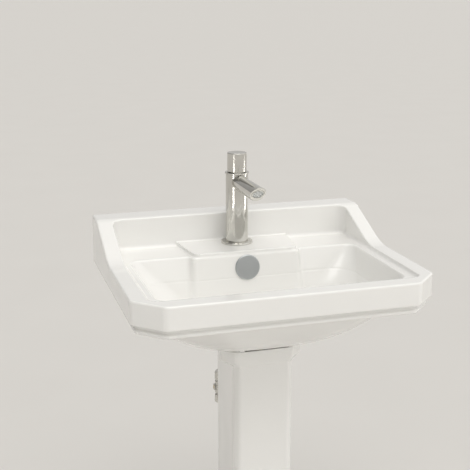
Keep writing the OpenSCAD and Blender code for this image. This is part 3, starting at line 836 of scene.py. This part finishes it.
def make_spout():
    """Tube that leaves the body level and is cut off at a slant, with the aerator's bore in its end."""
    turns = [2 * math.pi * k / 96 for k in range(96)]
    c, s = math.cos(SPOUT_TILT), math.sin(SPOUT_TILT)

    def on_tube(r, out):
        return [(r * math.cos(a), SPOUT_END - (out + s * r * math.sin(a)) / c, SPOUT_Z + r * math.sin(a))
                for a in turns]

    def on_end(r, out):
        return [(r * math.cos(a), SPOUT_END - s * r * math.sin(a) - c * out,
                 SPOUT_Z + c * r * math.sin(a) - s * out) for a in turns]

    edge, steps = 0.9, [math.radians(15 * k) for k in range(7)]
    start = [(SPOUT_R * math.cos(a), TAP_Y - math.sqrt((TAP_R - 0.3) ** 2 - (SPOUT_R * math.cos(a)) ** 2),
              SPOUT_Z + SPOUT_R * math.sin(a)) for a in turns]
    loops = [start]
    loops += [on_tube(SPOUT_R - edge * (1 - math.cos(b)), -edge * (1 - math.sin(b))) for b in steps]
    loops += [on_end(AERATOR_R + 0.5, 0), on_end(AERATOR_R + 0.1, -0.15), on_end(AERATOR_R, -0.5)]
    loops += [on_end(AERATOR_R, -9)]
    stands_for(lofted("spout_polished", loops), "spout", CHROME)


def petals(x, y, count, radius):
    """Distance in plan from the nearest of count points on a circle."""
    turn = np.arctan2(y, x)
    step = 2 * math.pi / count
    turn = turn - step * np.round(turn / step)
    reach = np.hypot(x, y)
    return np.hypot(reach * np.cos(turn) - radius, reach * np.sin(turn))


def aerator_field(x, y, z):
    """Filter face with a ring of holes near its rim and a finer ring inside it, upright on its own axis."""
    face = post(x, y, z, 0, 0, 10.3, -7.4, -0.5, 0.4)
    outer = np.maximum(petals(x, y, 8, 7.4) - 1.7, -6.4 - z)
    inner = np.maximum(petals(x, y, 5, 3.2) - 0.8, -6.4 - z)
    return cut(cut(face, outer, 0.2), inner, 0.2)


def make_aerator():
    place = at(0, SPOUT_END, SPOUT_Z, 90 + math.degrees(SPOUT_TILT))
    shell = [(10.5, -9, 0.2), (12.4, -9, 0.3), (12.4, 0.6, 0.5), (10.5, 0.6, 0.4)]
    stands_for(turned("aerator_housing_polished", shell, place, True), "aerator_housing", CHROME)
    low, high = (-10.4, -10.4, -7.4), (10.4, 10.4, -0.4)
    insert = casting("aerator_insert_moulded", aerator_field, low, high, 0.5, 0.5)
    insert.data.transform(Matrix.Translation(place.translation * MM) @ place.to_3x3().to_4x4())
    stands_for(insert, "aerator_insert", FILTER_PLASTIC)


# ---------- metal in the bowl ----------

def make_overflow_cover():
    place = at(0, OVERFLOW_Y, OVERFLOW_Z, 90 - math.degrees(OVERFLOW_TILT))
    profile = [
        (0, 0.1, 0), (9.5, 0.1, 0.2), (9.5, -9, 0.3), (12.2, -9, 0.5), (12.2, 0.1, 0.2),
        (25, 0.1, 0.3), (25, 2.4, 0.8), (23.4, 3.3, 1.2), (0, 3.7, 0),
    ]
    stands_for(turned("overflow_cover_satin", profile, place), "overflow_cover", SATIN)


def make_plug():
    profile = [
        (0, 0, 0), (31, 0, 0.3), (32, 1.2, 0.4), (31.4, 2.6, 0.8),
        (24, 4.6, 10), (12, 5.8, 10), (0, 6.2, 0),
    ]
    place = at(0, WASTE_Y, BOWL_FLOOR - 0.5)
    stands_for(turned("plug_cap_polished", profile, place), "plug_cap", CHROME)


# ---------- waste, trap and supply ----------

WASTE_TOP = BOWL_FLOOR - 1
WASTE_LOW = WASTE_TOP - 76
WASTE_R = 20.5
OUTLET_Z = 572
OUTLET_R = 16
TRAP_R = 32
CUP_TOP = OUTLET_Z - 22
VALVE_X = 30
VALVE_Y = WALL - 75
VALVE_Z = 530
TAIL_R = 5
STUD_Y = TAP_Y + 12
STUD_R = 4


def thread(radius, low, high, pitch=1.8, depth=0.5):
    """Ridges of a screw thread as rings, from low to high."""
    count = int((high - low) / pitch)
    rows = [(low + (k + share) * pitch, share) for k in range(count) for share in (0.0, 0.5)]
    ridges = [(radius - (depth if share else 0), height, 0.12) for height, share in rows]
    return ridges + [(radius, high, 0.1)]


def turned_piece(node, corners, place, material, closed=False, segments=64):
    stands_for(turned(node + "_turned", corners, place, closed, segments, 3), node, material)


def cast_piece(node, field, step, material):
    low, high = box_mm(node)
    stands_for(casting(node + "_cast", field, low, high, step, 0.5), node, material)


def hexagon(dx, dy, flats):
    """Six flats with softened corners, two of them on the X axis."""
    slanted = np.abs(dx) * math.cos(math.pi / 6) + np.abs(dy) / 2
    return round_max(np.abs(dy) - flats / 2, slanted - flats / 2, 0.4)


def nut(x, y, z, cx, cy, flats, hole, z0, z1):
    """Hexagon nut whose corners are bevelled at both ends."""
    reach = np.hypot(x - cx, y - cy)
    ends = span(z, z0, z1)
    bevel = (reach - flats / 2 - 0.6 + 1.7 * (ends + 0.6)) / 2
    body = round_max(round_max(hexagon(x - cx, y - cy, flats), ends, 0.3), bevel, 0.3)
    return cut(body, reach - hole, 0.5)


def ribs(x, y, count, radius, width):
    """Upright ribs round the Z axis that reach out to radius."""
    step = 2 * math.pi / count
    turn = np.arctan2(y, x)
    turn = turn - step * np.round(turn / step)
    reach = np.hypot(x, y)
    return round_max(np.abs(reach * np.sin(turn)) - width / 2, reach * np.cos(turn) - radius, 0.7)


def back_nut(x, y, z):
    return nut(x, y, z, 0, WASTE_Y, 58, WASTE_R + 0.1, SEAT - 13, SEAT - 5)


def make_waste():
    """Threaded waste in the bowl's floor, with the seal and nut that hold it from below."""
    outside = [
        (WASTE_R, WASTE_LOW, 0.3), *thread(WASTE_R, WASTE_LOW + 1, SEAT + 4), (WASTE_R, WASTE_TOP - 3, 0.4),
        (32, WASTE_TOP - 3, 0.4), (32, WASTE_TOP, 1.2),
    ]
    inside = [(18, WASTE_TOP, 1.2), (18, WASTE_LOW, 0.3)]
    turned_piece("waste_body", outside + inside, at(0, WASTE_Y, 0), CHROME, True)
    hole = WASTE_R + 0.1
    seal = [(hole, SEAT - 5, 0.3), (31, SEAT - 5, 1.2), (31, SEAT, 1.2), (hole, SEAT, 0.3)]
    turned_piece("waste_lower_seal", seal, at(0, WASTE_Y, 0), BLACK_RUBBER, True)
    cast_piece("waste_back_nut", back_nut, 1, BRASS)


def inlet_nut(x, y, z):
    low, high, v = WASTE_LOW - 12, WASTE_LOW + 16, y - WASTE_Y
    reach = np.hypot(x, v)
    body = round_min(reach - 26, ribs(x, v, 12, 28, 4), 0.8)
    body = round_max(body, span(z, low, high), 1.2)
    hole = np.minimum(reach - OUTLET_R - 0.2, np.maximum(reach - WASTE_R - 0.1, WASTE_LOW - 6.4 - z))
    return cut(body, hole, 0.4)


def outlet_nut(x, y, z):
    low, high, w = WASTE_Y + 54, WASTE_Y + 76, z - OUTLET_Z
    reach = np.hypot(x, w)
    body = round_min(reach - 25, ribs(x, w, 12, 27, 4), 0.8)
    body = round_max(body, span(y, low, high), 1.2)
    hole = np.minimum(reach - OUTLET_R - 0.2, np.maximum(reach - OUTLET_R - 4.1, y - high + 6))
    return cut(body, hole, 0.4)


def trap_shell(x, y, z):
    """Round body with its inlet neck above and its outlet branch towards the wall."""
    v, top = y - WASTE_Y, OUTLET_Z + 20
    reach, branch = np.hypot(x, v), np.hypot(x, z - OUTLET_Z)
    body = round_max(reach - TRAP_R, span(z, OUTLET_Z - 34, top), 5)
    neck = np.maximum(reach - OUTLET_R, span(z, top - 4, WASTE_LOW - 3))
    collar = round_max(reach - 20.2, span(z, WASTE_LOW - 6.2, WASTE_LOW - 3), 0.6)
    arm = np.maximum(branch - OUTLET_R, span(v, 0, 62))
    flange = round_max(branch - OUTLET_R - 4, span(v, 52, 62), 0.6)
    body = round_min(round_min(body, neck, 4), round_min(arm, flange, 1), 5)
    body = round_min(body, collar, 0.8)
    hollow = np.maximum(reach - TRAP_R + 3, z - top + 3)
    ways = np.minimum(np.maximum(reach - 13.5, OUTLET_Z - z), np.maximum(branch - 13.5, 20 - v))
    return cut(body, np.minimum(hollow, ways), 0.6)


def trap_cup(x, y, z):
    v, low = y - WASTE_Y, CUP_TOP - 76
    reach = np.hypot(x, v)
    body = round_max(reach - 34, span(z, low, CUP_TOP), 9)
    band = np.maximum(reach - 37, span(z, CUP_TOP - 19, CUP_TOP))
    grips = np.maximum(ribs(x, v, 18, 38.5, 3), span(z, CUP_TOP - 18, CUP_TOP))
    body = round_max(round_min(body, round_min(band, grips, 0.7), 1.5), z - CUP_TOP, 1)
    hollow = round_max(reach - 30.5, low + 4 - z, 7)
    return cut(body, np.minimum(hollow, np.maximum(reach - TRAP_R - 0.15, CUP_TOP - 15.2 - z)), 0.4)


def make_trap():
    """Bottle trap and the pipe from it to the wall."""
    cast_piece("trap_inlet_nut", inlet_nut, 1.2, WHITE_PLASTIC)
    cast_piece("trap_outlet_nut", outlet_nut, 1.2, WHITE_PLASTIC)
    cast_piece("trap_body", trap_shell, 1.6, WHITE_PLASTIC)
    cast_piece("trap_cup", trap_cup, 1.5, WHITE_PLASTIC)
    length, thin = WALL - WASTE_Y - 62.2, OUTLET_R - 0.2
    pipe = [(OUTLET_R - 2, 0, 0.3), (thin, 0, 0.8), (thin, 18, 0.1), (OUTLET_R, 18, 0.1),
            (OUTLET_R, length, 0.4), (OUTLET_R - 2, length, 0.4)]
    turned_piece("outlet_pipe", pipe, at(0, WASTE_Y + 62.2, OUTLET_Z, -90), WHITE_PLASTIC, True)


def valve(x, y, z, side):
    """Body of a quarter-turn valve: two threaded ends, a waist and the boss round its spindle."""
    cx = side * VALVE_X
    u, v, w = x - cx, y - VALVE_Y, z - VALVE_Z
    reach = np.hypot(u, v)
    barrel = round_max(reach - 10.5, span(w, -27, 27), 0.8)
    waist = round_max(hexagon(u, v, 25), reach - 13, 0.6)
    waist = round_max(waist, span(w, -14, 14), 1.2)
    boss = round_max(np.hypot(v, w) - 7, span(u * side, 0, 16), 0.8)
    body = round_min(round_min(barrel, waist, 1), boss, 2)
    bore = np.minimum(np.maximum(reach - 5.05, 14 - w), np.maximum(reach - 7.6, w + 16))
    ways = np.minimum(np.maximum(reach - 3.5, np.abs(w) - 20), np.sqrt(u ** 2 + v ** 2 + w ** 2) - 7.6)
    spindle = np.maximum(np.hypot(v, w) - 4.05, -u * side)
    return cut(body, np.minimum(np.minimum(bore, ways), spindle), 0.3)


def clamp_nuts(x, y, z):
    """The four nuts on the two valves."""
    u, reach = np.abs(x) - VALVE_X, np.hypot(np.abs(x) - VALVE_X, y - VALVE_Y)
    upper = nut(u, y, z, 0, VALVE_Y, 24, TAIL_R + 0.2, VALVE_Z + 17, VALVE_Z + 35)
    lower = nut(u, y, z, 0, VALVE_Y, 24, 7.8, VALVE_Z - 35, VALVE_Z - 17)
    wide = np.maximum(reach - 10.6, np.abs(z - VALVE_Z) - 31.5)
    return cut(np.minimum(upper, lower), wide, 0.3)


def swept(name, path, radius, bend=28, segments=32):
    """Round bar along a path whose bends are rounded."""
    path = [Vector(p) for p in path]
    line = [path[0]]
    for before, here, after in zip(path, path[1:], path[2:]):
        start, end = here + (before - here).normalized() * bend, here + (after - here).normalized() * bend
        for k in range(13):
            t = k / 12
            line.append(start.lerp(here, t).lerp(here.lerp(end, t), t))
    line.append(path[-1])
    side = Vector((1, 0, 0))
    points, normals, faces = [], [], []
    for i, p in enumerate(line):
        ahead = (line[min(i + 1, len(line) - 1)] - line[max(i - 1, 0)]).normalized()
        side = (side - ahead * side.dot(ahead)).normalized()
        other = ahead.cross(side)
        for k in range(segments):
            a = 2 * math.pi * k / segments
            out = side * math.cos(a) + other * math.sin(a)
            points.append(p + out * radius)
            normals.append(out)
    for row in range(0, (len(line) - 1) * segments, segments):
        for k in range(segments):
            m = (k + 1) % segments
            faces.append((row + k, row + m, row + segments + m, row + segments + k))
    last = (len(line) - 1) * segments
    faces += [tuple(range(segments))[::-1], tuple(range(last, last + segments))]
    return smooth_piece(name, points, normals, faces)


def make_supply():
    """A bent copper tail and a valve on each side, and the four nuts."""
    for side, which in ((-1, "hot"), (1, "cold")):
        top, low = (side * 8, TAP_Y - 4), (side * VALVE_X, VALVE_Y)
        path = [(*top, RIM + 14), (*top, RIM - 75), (*low, RIM - 165), (*low, VALVE_Z + 16)]
        stands_for(swept(which + "_tail_drawn", path, TAIL_R), which + "_tail", COPPER)
        cast_piece(which + "_isolator", lambda x, y, z: valve(x, y, z, side), 1, NICKEL)
    cast_piece("compression_nuts", clamp_nuts, 1, NICKEL)


def stud_nut(x, y, z):
    return nut(x, y, z, 0, STUD_Y, 13, STUD_R + 0.1, DECK - 15, DECK - 5)


def make_fixing():
    """Stud that holds the tap down, threaded where its nut runs."""
    stud = [
        (0, RIM - 48, 0), (3.6, RIM - 48, 0.2), *thread(STUD_R, RIM - 47.4, RIM - 16, 1.0, 0.35),
        (STUD_R, RIM + 21, 0.3), (0, RIM + 21, 0),
    ]
    turned_piece("fixing_stud", stud, at(0, STUD_Y, 0), BRASS, segments=40)
    cast_piece("fixing_nut", stud_nut, 0.6, BRASS)


def make_pieces():
    make_basin()
    make_pedestal()
    make_tap_body()
    make_tap_rings()
    make_knob()
    make_spout()
    make_aerator()
    make_overflow_cover()
    make_plug()
    make_waste()
    make_trap()
    make_supply()
    make_fixing()


def finish_cad_nodes():
    """Every CAD node that still shows takes the material of its slot."""
    for node, made in frame["nodes"].items():
        made.data.materials.clear()
        made.data.materials.append(SLOT_MATERIAL[NODE_SLOT[node]])


# ---------- stage ----------

FLOOR_SIZE = 400
LIGHT_COLOUR = (1, 0.985, 0.96)
WORLD_LEFT_RIGHT = (0.3, 0.88)
WORLD_FRONT_BACK = (1.42, 0.82)
POOL_LENGTH = 2.2
POOL_WIDTH = 0.5
POOL_SPREAD = 60
CAMERA_PLACE = (-0.54, -1.6315, 1.3454)
CAMERA_TILT = 75.4
CAMERA_TURN = -16.9
CAMERA_LENS = 71.7


def make_floor():
    """Plain pale floor that runs to the horizon."""
    corners = [(x * FLOOR_SIZE, y * FLOOR_SIZE, 0) for x, y in ((-1, -1), (1, -1), (1, 1), (-1, 1))]
    floor = new_mesh("floor", corners, [(0, 1, 2, 3)])
    paint = Paint("pale_floor", Specular_IOR_Level=0.15)
    paint.colour(paint.spread(paint.noise(3, 3), 0, 1), (0.665, 0.65, 0.625), (0.675, 0.66, 0.635))
    paint.roughness(paint.noise(6, 3), 0.7, 0.8)
    floor.materials.append(paint.made)
    link("floor", floor)


def make_world():
    """Soft light all round, brighter from the front and from the right."""
    world = bpy.data.worlds.new("studio")
    bpy.context.scene.world = world
    world.use_nodes = True
    nodes, links = world.node_tree.nodes, world.node_tree.links
    split = nodes.new("ShaderNodeSeparateXYZ")
    links.new(nodes.new("ShaderNodeTexCoord").outputs["Generated"], split.inputs[0])

    def level(axis, low, high):
        made = nodes.new("ShaderNodeMapRange")
        made.interpolation_type = "SMOOTHSTEP"
        for socket, value in (("From Min", -1), ("From Max", 1), ("To Min", low), ("To Max", high)):
            made.inputs[socket].default_value = value
        links.new(split.outputs[axis], made.inputs["Value"])
        return made.outputs["Result"]

    both = nodes.new("ShaderNodeMath")
    both.operation = "MULTIPLY"
    links.new(level("X", *WORLD_LEFT_RIGHT), both.inputs[0])
    links.new(level("Y", *WORLD_FRONT_BACK), both.inputs[1])
    nodes["Background"].inputs["Color"].default_value = (*LIGHT_COLOUR, 1)
    links.new(both.outputs["Value"], nodes["Background"].inputs["Strength"])


def make_pool(name, place, power):
    """A long patch of light on the floor beside the set, for the chrome to mirror."""
    lamp = bpy.data.lights.new(name, "AREA")
    lamp.shape = "RECTANGLE"
    lamp.size = POOL_LENGTH
    lamp.size_y = POOL_WIDTH
    lamp.energy = power
    lamp.spread = math.radians(POOL_SPREAD)
    made = bpy.data.objects.new(name, lamp)
    bpy.context.scene.collection.objects.link(made)
    made.location = place
    made.rotation_euler = (0, 0, math.atan2(place[1], place[0]))
    made.visible_camera = False


def make_sun(name, towards, softness, strength):
    """Broad even light from the direction towards, softness degrees wide."""
    lamp = bpy.data.lights.new(name, "SUN")
    lamp.angle = math.radians(softness)
    lamp.energy = strength
    lamp.color = LIGHT_COLOUR
    made = bpy.data.objects.new(name, lamp)
    bpy.context.scene.collection.objects.link(made)
    made.rotation_euler = Vector(towards).to_track_quat("Z", "Y").to_euler()


def make_camera():
    """Camera to the left of the middle and half a metre over the rim."""
    camera = bpy.data.objects.new("camera", bpy.data.cameras.new("camera"))
    bpy.context.scene.collection.objects.link(camera)
    camera.data.lens = CAMERA_LENS
    camera.location = CAMERA_PLACE
    camera.rotation_euler = (math.radians(CAMERA_TILT), 0, math.radians(CAMERA_TURN))
    bpy.context.scene.camera = camera


def make_stage():
    make_floor()
    make_world()
    make_sun("key", (-0.06, -0.36, 0.95), 50, 1.2)
    make_pool("left pool", (-3.6, -2.7, 1.2), 38)
    make_pool("right pool", (4.4, -0.7, 1.2), 42)
    make_camera()
    bpy.context.scene.view_settings.view_transform = "Standard"


make_stage()
make_pieces()
finish_cad_nodes()
